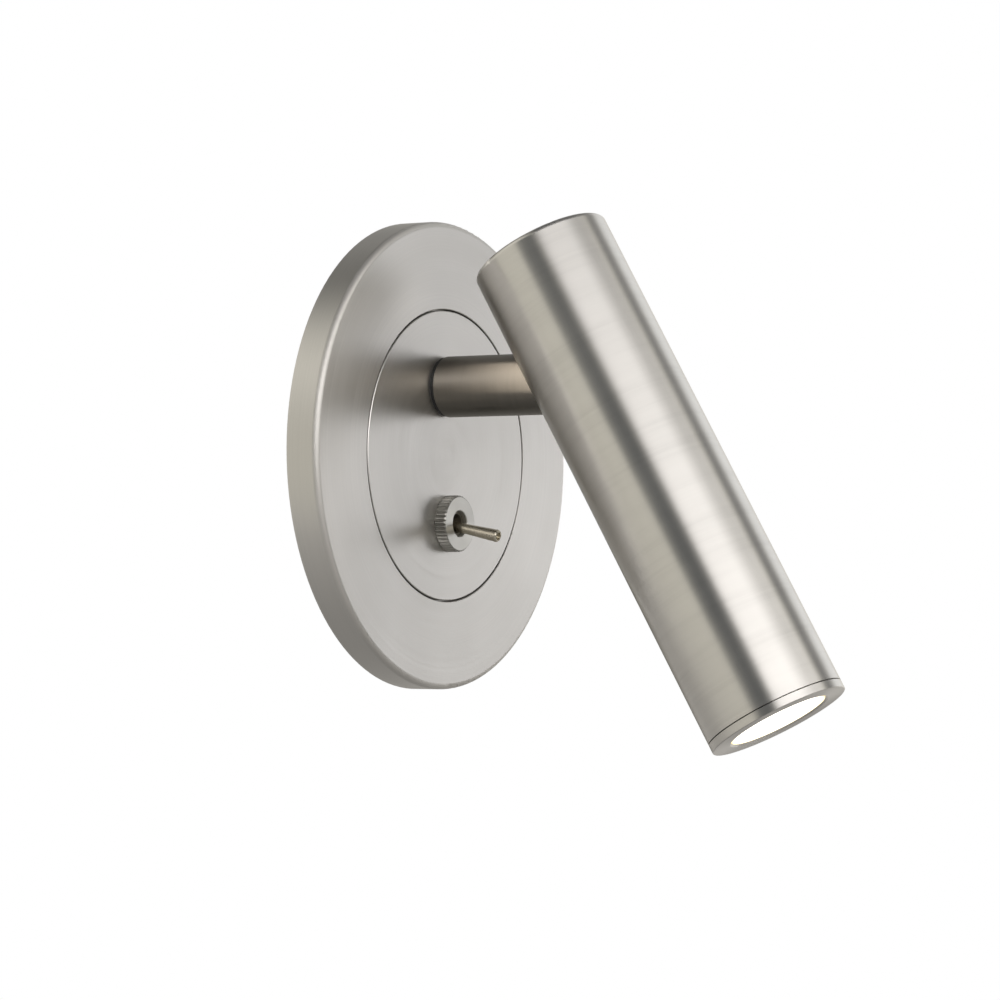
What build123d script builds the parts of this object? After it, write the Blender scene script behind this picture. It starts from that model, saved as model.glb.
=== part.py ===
from build123d import *
import os
from math import cos, radians, sin, tan

# A wall reading lamp: a round wall plate with a disc set into it, a toggle switch, a short arm and
# a tilting head.
#
# Frame: +Z up, the wall is the plane Y = 0, the room is on the -Y side, and the origin is the centre
# of the plate's back. Lengths are in millimetres and angles in degrees. A depth is a distance from
# the wall into the room, so a negative depth lies behind the wall, in the wall box. A rise is a
# distance from the tilt pivot up the head's axis.

# ---------------------------------------------------------------- driving dimensions

# Wall plate: an outer ring with a disc let into it
PLATE_R = 57.5
PLATE_DEPTH = 8.5
PLATE_EDGE_R = 1.4
PLATE_SIDE_WALL = 2.0
PLATE_FRONT_WALL = 2.6
DISC_R = 35.6
DISC_REVEAL = 0.45
EDGE_BREAK = 0.15
LEDGE_R = 30.5
LEDGE_LAP = 3.0
LEDGE_THICKNESS = 1.6

# Wall bracket and what is fixed on it
BRACKET_R = 53.0
BRACKET_BACK_DEPTH = 0.3
BRACKET_THICKNESS = 1.5
TAB_WIDTH = 12.0
TAB_HEIGHT = 53.1
TAB_DEPTH = 5.2
OPENING_WIDTH = 34.0
OPENING_CORNER_R = 8.0
UPPER_OPENING = (4.0, 31.0)
LOWER_OPENING = (-31.0, -9.5)
BOX_SCREW_SPACING = 88.9
BOX_SLOT = (9.0, 4.5)
SMALL_BOX_SPACING = 60.0
SMALL_BOX_SLOT = (8.0, 4.2)
GRUB_SCREW_R = 1.5
GRUB_SCREW_DEPTH = 3.0
EARTH_SCREW_XZ = (-33.0, -33.0)
BLOCK_SIZE = (24.0, 10.0, 13.0)
BLOCK_Z = -2.5
BARREL_X = 7.0
BARREL_DEPTH = -8.5

# Toggle switch
SWITCH_Z = -16.8
NUT_R = 6.95
NUT_THICKNESS = 3.2
NUT_CHAMFER = 0.35
KNURL_TEETH = 42
KNURL_WIDTH = 0.6
BUSHING_R = 3.15
BUSHING_BORE_R = 3.25
BUSHING_FRONT_DEPTH = 10.6
SWITCH_TOP_DEPTH = 1.6
SWITCH_BACK_DEPTH = -8.0
SWITCH_WIDTH = 7.6
SWITCH_HEIGHT = 12.8
LEVER_PIVOT_DEPTH = 7.05
LEVER_THROW = 11.5
LEVER_LENGTH = 15.9
LEVER_TIP_R = 1.55
LEVER_ROOT_R = 1.05
LEVER_BALL_R = 2.0
LEVER_TAIL_R = 1.2
LEVER_TAIL = 8.0
PLUNGER_R = 0.74
PLUNGER_REACH = 9.6
ROCKER_DEPTH = -2.75
ROCKER_THROW = 8.0
ROCKER_WING = 4.8
CONTACT_OFFSET = 4.0

# Arm and swivel
ARM_Z = 16.85
ARM_R = 7.5
ARM_BORE_R = 6.25
ARM_WASHER = 0.8
ARM_END_DEPTH = 43.2
NIPPLE_R = 5.0
NIPPLE_BORE_R = 3.6
NIPPLE_FLAT = 4.4
THREAD_GAP = 0.03
RUNNING_GAP = 0.06
STOP_RADIUS = 11.0
STOP_PIN_R = 1.25

# Head and tilt joint
PIVOT_DEPTH = 54.2
TILT = 28.7
TILT_MIN = -10.0
TILT_MAX = 45.0
HEAD_R = 17.3
HEAD_BORE_R = 15.7
HEAD_TOP = 37.4
HEAD_SEAM = -90.0
HEAD_END = -92.2
HEAD_EDGE_R = 1.2
SEAM_GAP = 0.3
SLOT_CLEARANCE = 0.5
SLOT_SIDE_CLEARANCE = 0.35
FIT_R = 15.66
TONGUE_X = 5.0
TONGUE_DEPTH = 45.2
TILT_WASHER = 0.8
TILT_SPRING = 0.6
CHEEK_THICKNESS = 5.5
CHEEK_R = 7.6
CORE_TOP = -11.2
CORE_BOTTOM = -21.5
CORE_SCREW_RISE = -16.5
CORE_SCREW_ANGLE = 20.0
BOLT_R = 2.5
SINK_TOP = -64.0
SINK_BASE_TOP = -74.0
SINK_BOTTOM = -79.0
SINK_FINS = 12
LENS_R = 12.2
LENS_RECESS = 0.35
LENS_FLANGE_R = 13.9
LEAD_R = 0.9

# ---------------------------------------------------------------- derived dimensions and planes

PLATE_INNER_DEPTH = PLATE_DEPTH - PLATE_FRONT_WALL
LEDGE_DEPTH = PLATE_INNER_DEPTH - LEDGE_THICKNESS
BRACKET_FRONT_DEPTH = BRACKET_BACK_DEPTH + BRACKET_THICKNESS
OPENING_R = DISC_R + DISC_REVEAL
ARM_BASE_DEPTH = PLATE_DEPTH + ARM_WASHER
CHEEK_X = TONGUE_X + TILT_WASHER + TILT_SPRING
CHEEK_OUTER_X = CHEEK_X + CHEEK_THICKNESS

pivot = Vector(0, -PIVOT_DEPTH, ARM_Z)
head_up = Vector(0, sin(radians(TILT)), cos(radians(TILT)))
head_back = Vector(0, cos(radians(TILT)), -sin(radians(TILT)))
head_axis = Axis(pivot, head_up)
head_section = Plane(origin=pivot, x_dir=(1, 0, 0), z_dir=-head_back)
head_side = Plane(origin=pivot, x_dir=head_back, z_dir=(1, 0, 0))
head_rear = Plane(origin=pivot, x_dir=(-1, 0, 0), z_dir=head_back)

lever_pivot = Vector(0, -LEVER_PIVOT_DEPTH, SWITCH_Z)
lever_out = Vector(0, -cos(radians(LEVER_THROW)), -sin(radians(LEVER_THROW)))
lever_axis = Axis(lever_pivot, lever_out)
lever_section = Plane(origin=lever_pivot, x_dir=(1, 0, 0), z_dir=(0, -lever_out.Z, lever_out.Y))


def at_depth(depth, height=0.0):
    """The plane parallel to the wall at this depth, centred at this height; it extrudes into the room."""
    return Plane(origin=(0, -depth, height), x_dir=(1, 0, 0), z_dir=(0, -1, 0))


def section_at(height):
    """The plane for half sections about the Y axis at this height: x is the radius, y is minus the depth."""
    return Plane.XY.offset(height)


def axis_at(height):
    """The line square to the wall at this height."""
    return Axis((0, 0, height), (0, 1, 0))


def across_head(rise):
    """The plane square to the head's axis at this rise: x is sideways and y points to the head's back."""
    return Plane(origin=pivot, x_dir=(1, 0, 0), z_dir=head_up).offset(rise)


def flat_ring(plane, outer_r, inner_r, thickness):
    """A flat ring on the plane."""
    with BuildPart() as ring:
        with BuildSketch(plane):
            Circle(outer_r)
            Circle(inner_r, mode=Mode.SUBTRACT)
        extrude(amount=thickness)
    return ring


def turned(plane, axis, outline):
    """A turned piece: its half outline on the plane, as (radius, position) points, spun about the axis."""
    with BuildPart() as piece:
        with BuildSketch(plane):
            with BuildLine():
                Polyline(*outline, close=True)
            make_face()
        revolve(axis=axis)
    return piece


def dished_ring(plane, axis, outer_r, inner_r, start, height, thickness):
    """A dished spring washer: a cone whose inner edge stands off from its outer edge."""
    rise = height - thickness
    outline = [
        (outer_r, start),
        (outer_r, start + thickness),
        (inner_r, start + thickness + rise),
        (inner_r, start + rise),
    ]
    return turned(plane, axis, outline)


def socket_screws(planes, head_r, head_height, shank_r, shank_length, socket):
    """Screws with hexagon sockets, one per plane: the head stands on it and the shank goes behind it."""
    with BuildPart() as screws:
        for plane in planes:
            with BuildSketch(plane):
                Circle(head_r)
            extrude(amount=head_height)
            with BuildSketch(plane):
                Circle(shank_r)
            extrude(amount=-shank_length)
            with BuildSketch(plane.offset(head_height)):
                RegularPolygon(socket / 2, 6, major_radius=False)
            extrude(amount=-head_height * 0.6, mode=Mode.SUBTRACT)
    return screws


def hex_nut(plane, across_flats, bore_r, thickness):
    """A hexagon nut standing on the plane."""
    with BuildPart() as nut:
        with BuildSketch(plane):
            RegularPolygon(across_flats / 2, 6, major_radius=False)
            Circle(bore_r, mode=Mode.SUBTRACT)
        extrude(amount=thickness)
    return nut


def round_leads(paths, radius):
    """Round wires, one along each path, which is a list of points and one bend radius."""
    with BuildPart() as leads:
        for points, bend_r in paths:
            with BuildLine() as route:
                FilletPolyline(*points, radius=bend_r)
            with BuildSketch(Plane(origin=route.line @ 0, z_dir=route.line % 0)):
                Circle(radius)
            sweep(path=route.line)
    return leads


# ---------------------------------------------------------------- wall bracket

EARTH_SCREW_R = 2.0
BLOCK_SCREW_R = 1.5


def bracket_opening(bottom, top):
    """Cuts one opening between these heights, in the sketch that is being drawn."""
    with Locations((0, (bottom + top) / 2)):
        RectangleRounded(OPENING_WIDTH, top - bottom, OPENING_CORNER_R, mode=Mode.SUBTRACT)


with BuildPart() as wall_bracket:
    with BuildSketch(at_depth(BRACKET_BACK_DEPTH)):
        Circle(BRACKET_R)
        bracket_opening(*UPPER_OPENING)
        bracket_opening(*LOWER_OPENING)
        with GridLocations(BOX_SCREW_SPACING, 0, 2, 1):
            SlotOverall(*BOX_SLOT, mode=Mode.SUBTRACT)
        with GridLocations(SMALL_BOX_SPACING, 0, 2, 1):
            SlotOverall(*SMALL_BOX_SLOT, mode=Mode.SUBTRACT)
        with Locations(EARTH_SCREW_XZ):
            Circle(EARTH_SCREW_R, mode=Mode.SUBTRACT)
        with Locations((0, BLOCK_Z)):
            Circle(BLOCK_SCREW_R, mode=Mode.SUBTRACT)
    extrude(amount=BRACKET_THICKNESS)
    with BuildSketch(at_depth(BRACKET_BACK_DEPTH)):
        with GridLocations(0, 2 * TAB_HEIGHT - BRACKET_THICKNESS, 1, 2):
            Rectangle(TAB_WIDTH, BRACKET_THICKNESS)
    extrude(amount=TAB_DEPTH - BRACKET_BACK_DEPTH)
wall_bracket.part.label = "wall_bracket"

# ---------------------------------------------------------------- outer ring of the wall plate

LEDGE_SCREW_R = 1.35
DISC_SCREW_CIRCLE_R = 33.0
DISC_SCREW_START = 45.0

with BuildPart() as canopy_ring:
    with BuildSketch(section_at(0)):
        with BuildLine():
            Polyline(
                (PLATE_R - PLATE_SIDE_WALL, 0),
                (PLATE_R, 0),
                (PLATE_R, -PLATE_DEPTH),
                (OPENING_R, -PLATE_DEPTH),
                (OPENING_R, -PLATE_INNER_DEPTH),
                (LEDGE_R, -PLATE_INNER_DEPTH),
                (LEDGE_R, -LEDGE_DEPTH),
                (OPENING_R + LEDGE_LAP, -LEDGE_DEPTH),
                (OPENING_R + LEDGE_LAP, -PLATE_INNER_DEPTH),
                (PLATE_R - PLATE_SIDE_WALL, -PLATE_INNER_DEPTH),
                close=True,
            )
        make_face()
    revolve(axis=axis_at(0))
    front_edges = canopy_ring.edges().group_by(Axis.Y)[0].sort_by(SortBy.RADIUS)
    chamfer(front_edges[0], EDGE_BREAK)
    fillet(front_edges[-1], PLATE_EDGE_R)
    with BuildSketch(at_depth(LEDGE_DEPTH)):
        with PolarLocations(DISC_SCREW_CIRCLE_R, 4, start_angle=DISC_SCREW_START):
            Circle(LEDGE_SCREW_R)
    extrude(amount=LEDGE_THICKNESS, mode=Mode.SUBTRACT)
    for end in (1, -1):
        with BuildSketch(Plane.XY.offset(end * (PLATE_R - PLATE_SIDE_WALL - 1))):
            with Locations((0, -GRUB_SCREW_DEPTH)):
                Circle(GRUB_SCREW_R)
        extrude(amount=end * (PLATE_SIDE_WALL + 2), mode=Mode.SUBTRACT)
canopy_ring.part.label = "canopy_ring"

# ---------------------------------------------------------------- disc let into the ring

DISC_SCREW_R = 1.22
DISC_SCREW_REACH = 1.8
TAPPED_DEPTH = 1.9
SWITCH_HOLE_R = 3.3

with BuildPart() as front_disc:
    with BuildSketch(at_depth(PLATE_INNER_DEPTH)):
        Circle(DISC_R)
        with Locations((0, ARM_Z)):
            Circle(NIPPLE_R + RUNNING_GAP, mode=Mode.SUBTRACT)
        with Locations((0, SWITCH_Z)):
            Circle(SWITCH_HOLE_R, mode=Mode.SUBTRACT)
    extrude(amount=PLATE_FRONT_WALL)
    chamfer(front_disc.edges().group_by(Axis.Y)[0].sort_by(SortBy.RADIUS)[-1], EDGE_BREAK)
    with BuildSketch(at_depth(PLATE_INNER_DEPTH)):
        with PolarLocations(DISC_SCREW_CIRCLE_R, 4, start_angle=DISC_SCREW_START):
            Circle(DISC_SCREW_R + THREAD_GAP)
        with Locations((0, ARM_Z - STOP_RADIUS)):
            Circle(STOP_PIN_R)
    extrude(amount=TAPPED_DEPTH, mode=Mode.SUBTRACT)
front_disc.part.label = "front_disc"

# ---------------------------------------------------------------- fasteners of the wall plate

GRUB_SCREW_SINK = 0.2
GRUB_SCREW_LENGTH = PLATE_R - TAB_HEIGHT - GRUB_SCREW_SINK
GRUB_SOCKET = 1.5
DISC_HEAD = (2.2, 1.4)
DISC_SOCKET = 1.5

disc_screw_circle = PolarLocations(DISC_SCREW_CIRCLE_R, 4, start_angle=DISC_SCREW_START)
disc_screw_planes = [
    Plane(origin=place.position, x_dir=(1, 0, 0), z_dir=(0, 1, 0))
    for place in at_depth(LEDGE_DEPTH) * disc_screw_circle
]
disc_screw_shank = LEDGE_THICKNESS + DISC_SCREW_REACH
disc_screws = socket_screws(disc_screw_planes, *DISC_HEAD, DISC_SCREW_R, disc_screw_shank, DISC_SOCKET)
disc_screws.part.label = "disc_screws"

with BuildPart() as grub_screws:
    for end in (1, -1):
        with BuildSketch(Plane.XY.offset(end * TAB_HEIGHT)):
            with Locations((0, -GRUB_SCREW_DEPTH)):
                Circle(GRUB_SCREW_R)
        extrude(amount=end * GRUB_SCREW_LENGTH)
        with BuildSketch(Plane.XY.offset(end * (TAB_HEIGHT + GRUB_SCREW_LENGTH))):
            with Locations((0, -GRUB_SCREW_DEPTH)):
                RegularPolygon(GRUB_SOCKET / 2, 6, major_radius=False)
        extrude(amount=-end * GRUB_SCREW_LENGTH / 2, mode=Mode.SUBTRACT)
grub_screws.part.label = "grub_screws"

# ---------------------------------------------------------------- earth screw and terminal block

EARTH_WASHER = (4.2, 0.8)
EARTH_HEAD = (3.5, 2.4)
EARTH_SCREW_REACH = 4.0
BARREL_R = 2.4
BARREL_BORE_R = 1.7
BARREL_LENGTH = 9.0
BLOCK_CORNER_R = 1.2
TERMINAL_SCREW_R = 1.3
TERMINAL_WELL_R = 1.8

earth_x, earth_z = EARTH_SCREW_XZ
earth_plane = Plane(origin=(earth_x, -BRACKET_FRONT_DEPTH, earth_z), x_dir=(1, 0, 0), z_dir=(0, -1, 0))
earth_washer = flat_ring(earth_plane, EARTH_WASHER[0], EARTH_SCREW_R + THREAD_GAP, EARTH_WASHER[1])
earth_washer.part.label = "earth_washer"

EARTH_SOCKET = 2.5
earth_screw = socket_screws(
    [earth_plane.offset(EARTH_WASHER[1])],
    *EARTH_HEAD,
    EARTH_SCREW_R - THREAD_GAP,
    EARTH_WASHER[1] + BRACKET_THICKNESS + EARTH_SCREW_REACH,
    EARTH_SOCKET,
)
earth_screw.part.label = "earth_screw"

block_width, block_height, block_depth = BLOCK_SIZE
with BuildPart() as terminal_block:
    with BuildSketch(at_depth(BRACKET_BACK_DEPTH, BLOCK_Z)):
        RectangleRounded(block_width, block_height, BLOCK_CORNER_R)
        Circle(BLOCK_SCREW_R, mode=Mode.SUBTRACT)
    extrude(amount=-BRACKET_BACK_DEPTH - block_depth)
    with BuildSketch(Plane.XY.offset(BLOCK_Z)):
        with Locations((-BARREL_X, -BARREL_DEPTH), (BARREL_X, -BARREL_DEPTH)):
            Circle(BARREL_R)
    extrude(amount=block_height, both=True, mode=Mode.SUBTRACT)
    with BuildSketch(at_depth(-block_depth, BLOCK_Z)):
        with Locations((-BARREL_X, 0), (BARREL_X, 0)):
            Circle(TERMINAL_WELL_R)
    extrude(amount=block_depth + BARREL_DEPTH, mode=Mode.SUBTRACT)
terminal_block.part.label = "terminal_block"

with BuildPart() as terminal_inserts:
    with BuildSketch(Plane.XY.offset(BLOCK_Z - BARREL_LENGTH / 2)):
        with Locations((-BARREL_X, -BARREL_DEPTH), (BARREL_X, -BARREL_DEPTH)):
            Circle(BARREL_R)
            Circle(BARREL_BORE_R, mode=Mode.SUBTRACT)
    extrude(amount=BARREL_LENGTH)
    with BuildSketch(at_depth(-block_depth, BLOCK_Z)):
        with Locations((-BARREL_X, 0), (BARREL_X, 0)):
            Circle(TERMINAL_SCREW_R)
    extrude(amount=block_depth + BARREL_DEPTH, mode=Mode.SUBTRACT)
terminal_inserts.part.label = "terminal_inserts"

TERMINAL_SCREW_SINK = 0.5
TERMINAL_SCREW_TIP_GAP = 1.0
TERMINAL_SLOT_WIDTH = 0.5
TERMINAL_SLOT_DEPTH = 0.8
terminal_screw_end = at_depth(TERMINAL_SCREW_SINK - block_depth, BLOCK_Z)
terminal_screw_length = block_depth + BARREL_DEPTH - TERMINAL_SCREW_SINK - TERMINAL_SCREW_TIP_GAP
with BuildPart() as terminal_screws:
    with BuildSketch(terminal_screw_end):
        with Locations((-BARREL_X, 0), (BARREL_X, 0)):
            Circle(TERMINAL_SCREW_R - THREAD_GAP)
    extrude(amount=terminal_screw_length)
    with BuildSketch(terminal_screw_end):
        with Locations((-BARREL_X, 0), (BARREL_X, 0)):
            Rectangle(2 * TERMINAL_SCREW_R, TERMINAL_SLOT_WIDTH)
    extrude(amount=TERMINAL_SLOT_DEPTH, mode=Mode.SUBTRACT)
terminal_screws.part.label = "terminal_screws"

BLOCK_HEAD = (2.6, 1.8)
BLOCK_SOCKET = 2.0
BLOCK_SCREW_REACH = 8.0
block_screw = socket_screws(
    [at_depth(BRACKET_FRONT_DEPTH, BLOCK_Z)],
    *BLOCK_HEAD,
    BLOCK_SCREW_R - THREAD_GAP,
    BRACKET_THICKNESS + BLOCK_SCREW_REACH,
    BLOCK_SOCKET,
)
block_screw.part.label = "block_screw"

# ---------------------------------------------------------------- toggle switch

with BuildPart() as switch_face_nut:
    with BuildSketch(at_depth(PLATE_DEPTH, SWITCH_Z)):
        Circle(NUT_R)
        Circle(BUSHING_BORE_R, mode=Mode.SUBTRACT)
    extrude(amount=NUT_THICKNESS)
    nut_edges = switch_face_nut.edges().filter_by(GeomType.CIRCLE).sort_by(SortBy.RADIUS)
    chamfer(nut_edges[-2:], NUT_CHAMFER)
    chamfer(nut_edges[:2].sort_by(Axis.Y)[0], EDGE_BREAK)
    with BuildSketch(at_depth(PLATE_DEPTH, SWITCH_Z)):
        with PolarLocations(NUT_R, KNURL_TEETH):
            Rectangle(KNURL_WIDTH, KNURL_WIDTH, rotation=45)
    extrude(amount=NUT_THICKNESS, mode=Mode.SUBTRACT)
switch_face_nut.part.label = "switch_face_nut"

WASHER_TEETH = 10
LOCK_WASHER_R = 5.4
LOCK_WASHER = 0.5
WASHER_NOTCH = (1.0, 0.8)
WASHER_NOTCH_OUT = 0.3
lock_washer_depth = PLATE_INNER_DEPTH - LOCK_WASHER
with BuildPart() as switch_lock_washer:
    with BuildSketch(at_depth(lock_washer_depth, SWITCH_Z)):
        Circle(LOCK_WASHER_R)
        Circle(BUSHING_BORE_R, mode=Mode.SUBTRACT)
        with PolarLocations(BUSHING_BORE_R + WASHER_NOTCH_OUT, WASHER_TEETH):
            Rectangle(*WASHER_NOTCH, mode=Mode.SUBTRACT)
    extrude(amount=LOCK_WASHER)
switch_lock_washer.part.label = "switch_lock_washer"

SWITCH_HEX = 8.0
SWITCH_HEX_THICKNESS = 1.8
switch_hex_plane = at_depth(lock_washer_depth - SWITCH_HEX_THICKNESS, SWITCH_Z)
switch_hex_nut = hex_nut(switch_hex_plane, SWITCH_HEX, BUSHING_R + THREAD_GAP, SWITCH_HEX_THICKNESS)
switch_hex_nut.part.label = "switch_hex_nut"

FRAME_PLATE = 0.8
FRAME_LEG = 0.5
FRAME_LEG_SHARE = 0.6
FRAME_LEG_SHORT = 2.0
BUSHING_BACK_R = 2.6
BUSHING_MOUTH_R = 2.45
BALL_SEAT_R = LEVER_BALL_R + 0.08
BALL_SEAT_DEPTH = (5.2, 9.2)
with BuildPart() as switch_bushing:
    with BuildSketch(section_at(SWITCH_Z)):
        with BuildLine():
            Polyline(
                (BUSHING_BACK_R, -SWITCH_TOP_DEPTH),
                (BUSHING_R, -SWITCH_TOP_DEPTH),
                (BUSHING_R, -BUSHING_FRONT_DEPTH),
                (BUSHING_MOUTH_R, -BUSHING_FRONT_DEPTH),
                (BALL_SEAT_R, -BALL_SEAT_DEPTH[1]),
                (BALL_SEAT_R, -BALL_SEAT_DEPTH[0]),
                close=True,
            )
        make_face()
    revolve(axis=axis_at(SWITCH_Z))
    with BuildSketch(at_depth(SWITCH_TOP_DEPTH, SWITCH_Z)):
        Rectangle(SWITCH_WIDTH + 2 * FRAME_LEG, SWITCH_HEIGHT)
        Circle(BUSHING_BACK_R, mode=Mode.SUBTRACT)
    extrude(amount=FRAME_PLATE)
    with BuildSketch(at_depth(SWITCH_TOP_DEPTH, SWITCH_Z)):
        with GridLocations(SWITCH_WIDTH + FRAME_LEG, 0, 2, 1):
            Rectangle(FRAME_LEG, SWITCH_HEIGHT * FRAME_LEG_SHARE)
    extrude(amount=SWITCH_BACK_DEPTH + FRAME_LEG_SHORT - SWITCH_TOP_DEPTH)
switch_bushing.part.label = "switch_bushing"

CAVITY = (5.2, 10.8)
CAVITY_FLOOR_DEPTH = -5.6
LUG = (2.0, 0.8)
LUG_HOLE_R = 0.55
LUG_HOLE_IN = 1.4
LUG_END_DEPTH = -12.6
LUG_TOP_DEPTH = -3.35
lug_places = [(0, -CONTACT_OFFSET), (0, 0), (0, CONTACT_OFFSET)]
with BuildPart() as switch_body:
    with BuildSketch(at_depth(SWITCH_TOP_DEPTH, SWITCH_Z)):
        Rectangle(SWITCH_WIDTH, SWITCH_HEIGHT)
    extrude(amount=SWITCH_BACK_DEPTH - SWITCH_TOP_DEPTH)
    with BuildSketch(at_depth(SWITCH_TOP_DEPTH, SWITCH_Z)):
        Rectangle(*CAVITY)
    extrude(amount=CAVITY_FLOOR_DEPTH - SWITCH_TOP_DEPTH, mode=Mode.SUBTRACT)
    with BuildSketch(at_depth(CAVITY_FLOOR_DEPTH, SWITCH_Z)):
        with Locations(*lug_places):
            Rectangle(*LUG)
    extrude(amount=SWITCH_BACK_DEPTH - CAVITY_FLOOR_DEPTH, mode=Mode.SUBTRACT)
switch_body.part.label = "switch_body"

with BuildPart() as switch_terminals:
    with BuildSketch(at_depth(LUG_TOP_DEPTH, SWITCH_Z)):
        with Locations(*lug_places):
            Rectangle(*LUG)
    extrude(amount=LUG_END_DEPTH - LUG_TOP_DEPTH)
    with BuildSketch(Plane.XY.offset(SWITCH_Z)):
        with Locations((0, -LUG_END_DEPTH - LUG_HOLE_IN)):
            Circle(LUG_HOLE_R)
    extrude(amount=SWITCH_HEIGHT / 2, both=True, mode=Mode.SUBTRACT)
switch_terminals.part.label = "switch_terminals"

ROCKER_THICKNESS = 0.5
ROCKER_HALF_WIDTH = 1.8
rocker_turn = radians(ROCKER_THROW)
rocker_side = Plane(
    origin=(0, -ROCKER_DEPTH, SWITCH_Z), x_dir=(0, sin(rocker_turn), cos(rocker_turn)), z_dir=(1, 0, 0)
)
wing_rise = ROCKER_WING * tan(rocker_turn)
with BuildPart() as contact_rocker:
    with BuildSketch(rocker_side):
        with BuildLine():
            Polyline(
                (0, 0),
                (ROCKER_WING, wing_rise),
                (ROCKER_WING, wing_rise - ROCKER_THICKNESS),
                (0, -ROCKER_THICKNESS),
                (-ROCKER_WING, wing_rise - ROCKER_THICKNESS),
                (-ROCKER_WING, wing_rise),
                close=True,
            )
        make_face()
    extrude(amount=ROCKER_HALF_WIDTH, both=True)
contact_rocker.part.label = "contact_rocker"

SPRING_BORE_R = 0.8
SPRING_BORE_END = 3.0
LEVER_TIP_EDGE = 0.25
LEVER_RECESS_R = 0.95
LEVER_RECESS_DEPTH = 0.6
ball_to_tail = (LEVER_BALL_R**2 - LEVER_TAIL_R**2) ** 0.5
ball_to_root = (LEVER_BALL_R**2 - LEVER_ROOT_R**2) ** 0.5
with BuildPart() as switch_lever:
    with BuildSketch(lever_section):
        with BuildLine():
            Polyline(
                (LEVER_TIP_R, LEVER_LENGTH - LEVER_TIP_EDGE),
                (LEVER_TIP_R - LEVER_TIP_EDGE, LEVER_LENGTH),
                (LEVER_RECESS_R, LEVER_LENGTH),
                (LEVER_RECESS_R, LEVER_LENGTH - LEVER_RECESS_DEPTH),
                (0, LEVER_LENGTH - LEVER_RECESS_DEPTH),
                (0, -SPRING_BORE_END),
                (SPRING_BORE_R, -SPRING_BORE_END),
                (SPRING_BORE_R, -LEVER_TAIL),
                (LEVER_TAIL_R, -LEVER_TAIL),
                (LEVER_TAIL_R, -ball_to_tail),
            )
            ThreePointArc((LEVER_TAIL_R, -ball_to_tail), (LEVER_BALL_R, 0), (LEVER_ROOT_R, ball_to_root))
            Line((LEVER_ROOT_R, ball_to_root), (LEVER_TIP_R, LEVER_LENGTH - LEVER_TIP_EDGE))
        make_face()
    revolve(axis=lever_axis)
switch_lever.part.label = "switch_lever"

PLUNGER_TOP = 5.4
with BuildPart() as switch_plunger:
    with BuildSketch(lever_section):
        with BuildLine():
            Polyline((0, -PLUNGER_REACH), (0, -PLUNGER_TOP), (PLUNGER_R, -PLUNGER_TOP))
            Line((PLUNGER_R, -PLUNGER_TOP), (PLUNGER_R, -PLUNGER_REACH + PLUNGER_R))
            RadiusArc((PLUNGER_R, -PLUNGER_REACH + PLUNGER_R), (0, -PLUNGER_REACH), PLUNGER_R)
        make_face()
    revolve(axis=lever_axis)
switch_plunger.part.label = "switch_plunger"

SPRING_WIRE_R = 0.13
SPRING_MEAN_R = 0.6
SPRING_TURNS = 4
SPRING_END_GAP = 0.02
spring_start = SPRING_BORE_END + SPRING_WIRE_R + SPRING_END_GAP
spring_height = PLUNGER_TOP - SPRING_WIRE_R - SPRING_END_GAP - spring_start
with BuildPart() as switch_spring:
    with BuildLine() as coil:
        Helix(
            pitch=spring_height / SPRING_TURNS,
            height=spring_height,
            radius=SPRING_MEAN_R,
            center=lever_pivot - lever_out * spring_start,
            direction=-lever_out,
        )
    with BuildSketch(Plane(origin=coil.line @ 0, z_dir=coil.line % 0)):
        Circle(SPRING_WIRE_R)
    sweep(path=coil.line)
switch_spring.part.label = "switch_spring"

# ---------------------------------------------------------------- arm and swivel

BASE_WASHER_R = 7.25
BACK_WASHER_R = 8.0
BACK_WASHER = 0.8
STOP_WASHER = 1.0
STOP_TAB = (3.0, 12.7)
SWIVEL_SPRING = 1.0
SWIVEL_SPRING_R = (7.8, 5.1)
SWIVEL_SPRING_THICKNESS = 0.5
LOCKNUT = (14.0, 3.0)
NIPPLE_BACK_DEPTH = -3.0
NIPPLE_SHORT = 2.0
PLUG_LENGTH = 12.0

base_washer = flat_ring(at_depth(PLATE_DEPTH, ARM_Z), BASE_WASHER_R, NIPPLE_R + RUNNING_GAP, ARM_WASHER)
base_washer.part.label = "base_washer"

with BuildPart() as arm_tube:
    with BuildSketch(at_depth(ARM_BASE_DEPTH, ARM_Z)):
        Circle(ARM_R)
        Circle(ARM_BORE_R, mode=Mode.SUBTRACT)
    extrude(amount=ARM_END_DEPTH - ARM_BASE_DEPTH)
    chamfer(arm_tube.edges().group_by(Axis.Y)[-1].sort_by(SortBy.RADIUS)[-1], 2 * EDGE_BREAK)
arm_tube.part.label = "arm_tube"

arm_base = at_depth(ARM_BASE_DEPTH, ARM_Z)
arm_plug = flat_ring(arm_base, ARM_BORE_R - THREAD_GAP, NIPPLE_R + THREAD_GAP, PLUG_LENGTH)
arm_plug.part.label = "arm_plug"

back_washer_depth = PLATE_INNER_DEPTH - BACK_WASHER
stop_washer_depth = back_washer_depth - STOP_WASHER
swivel_spring_depth = stop_washer_depth - SWIVEL_SPRING
locknut_depth = swivel_spring_depth - LOCKNUT[1]

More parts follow.
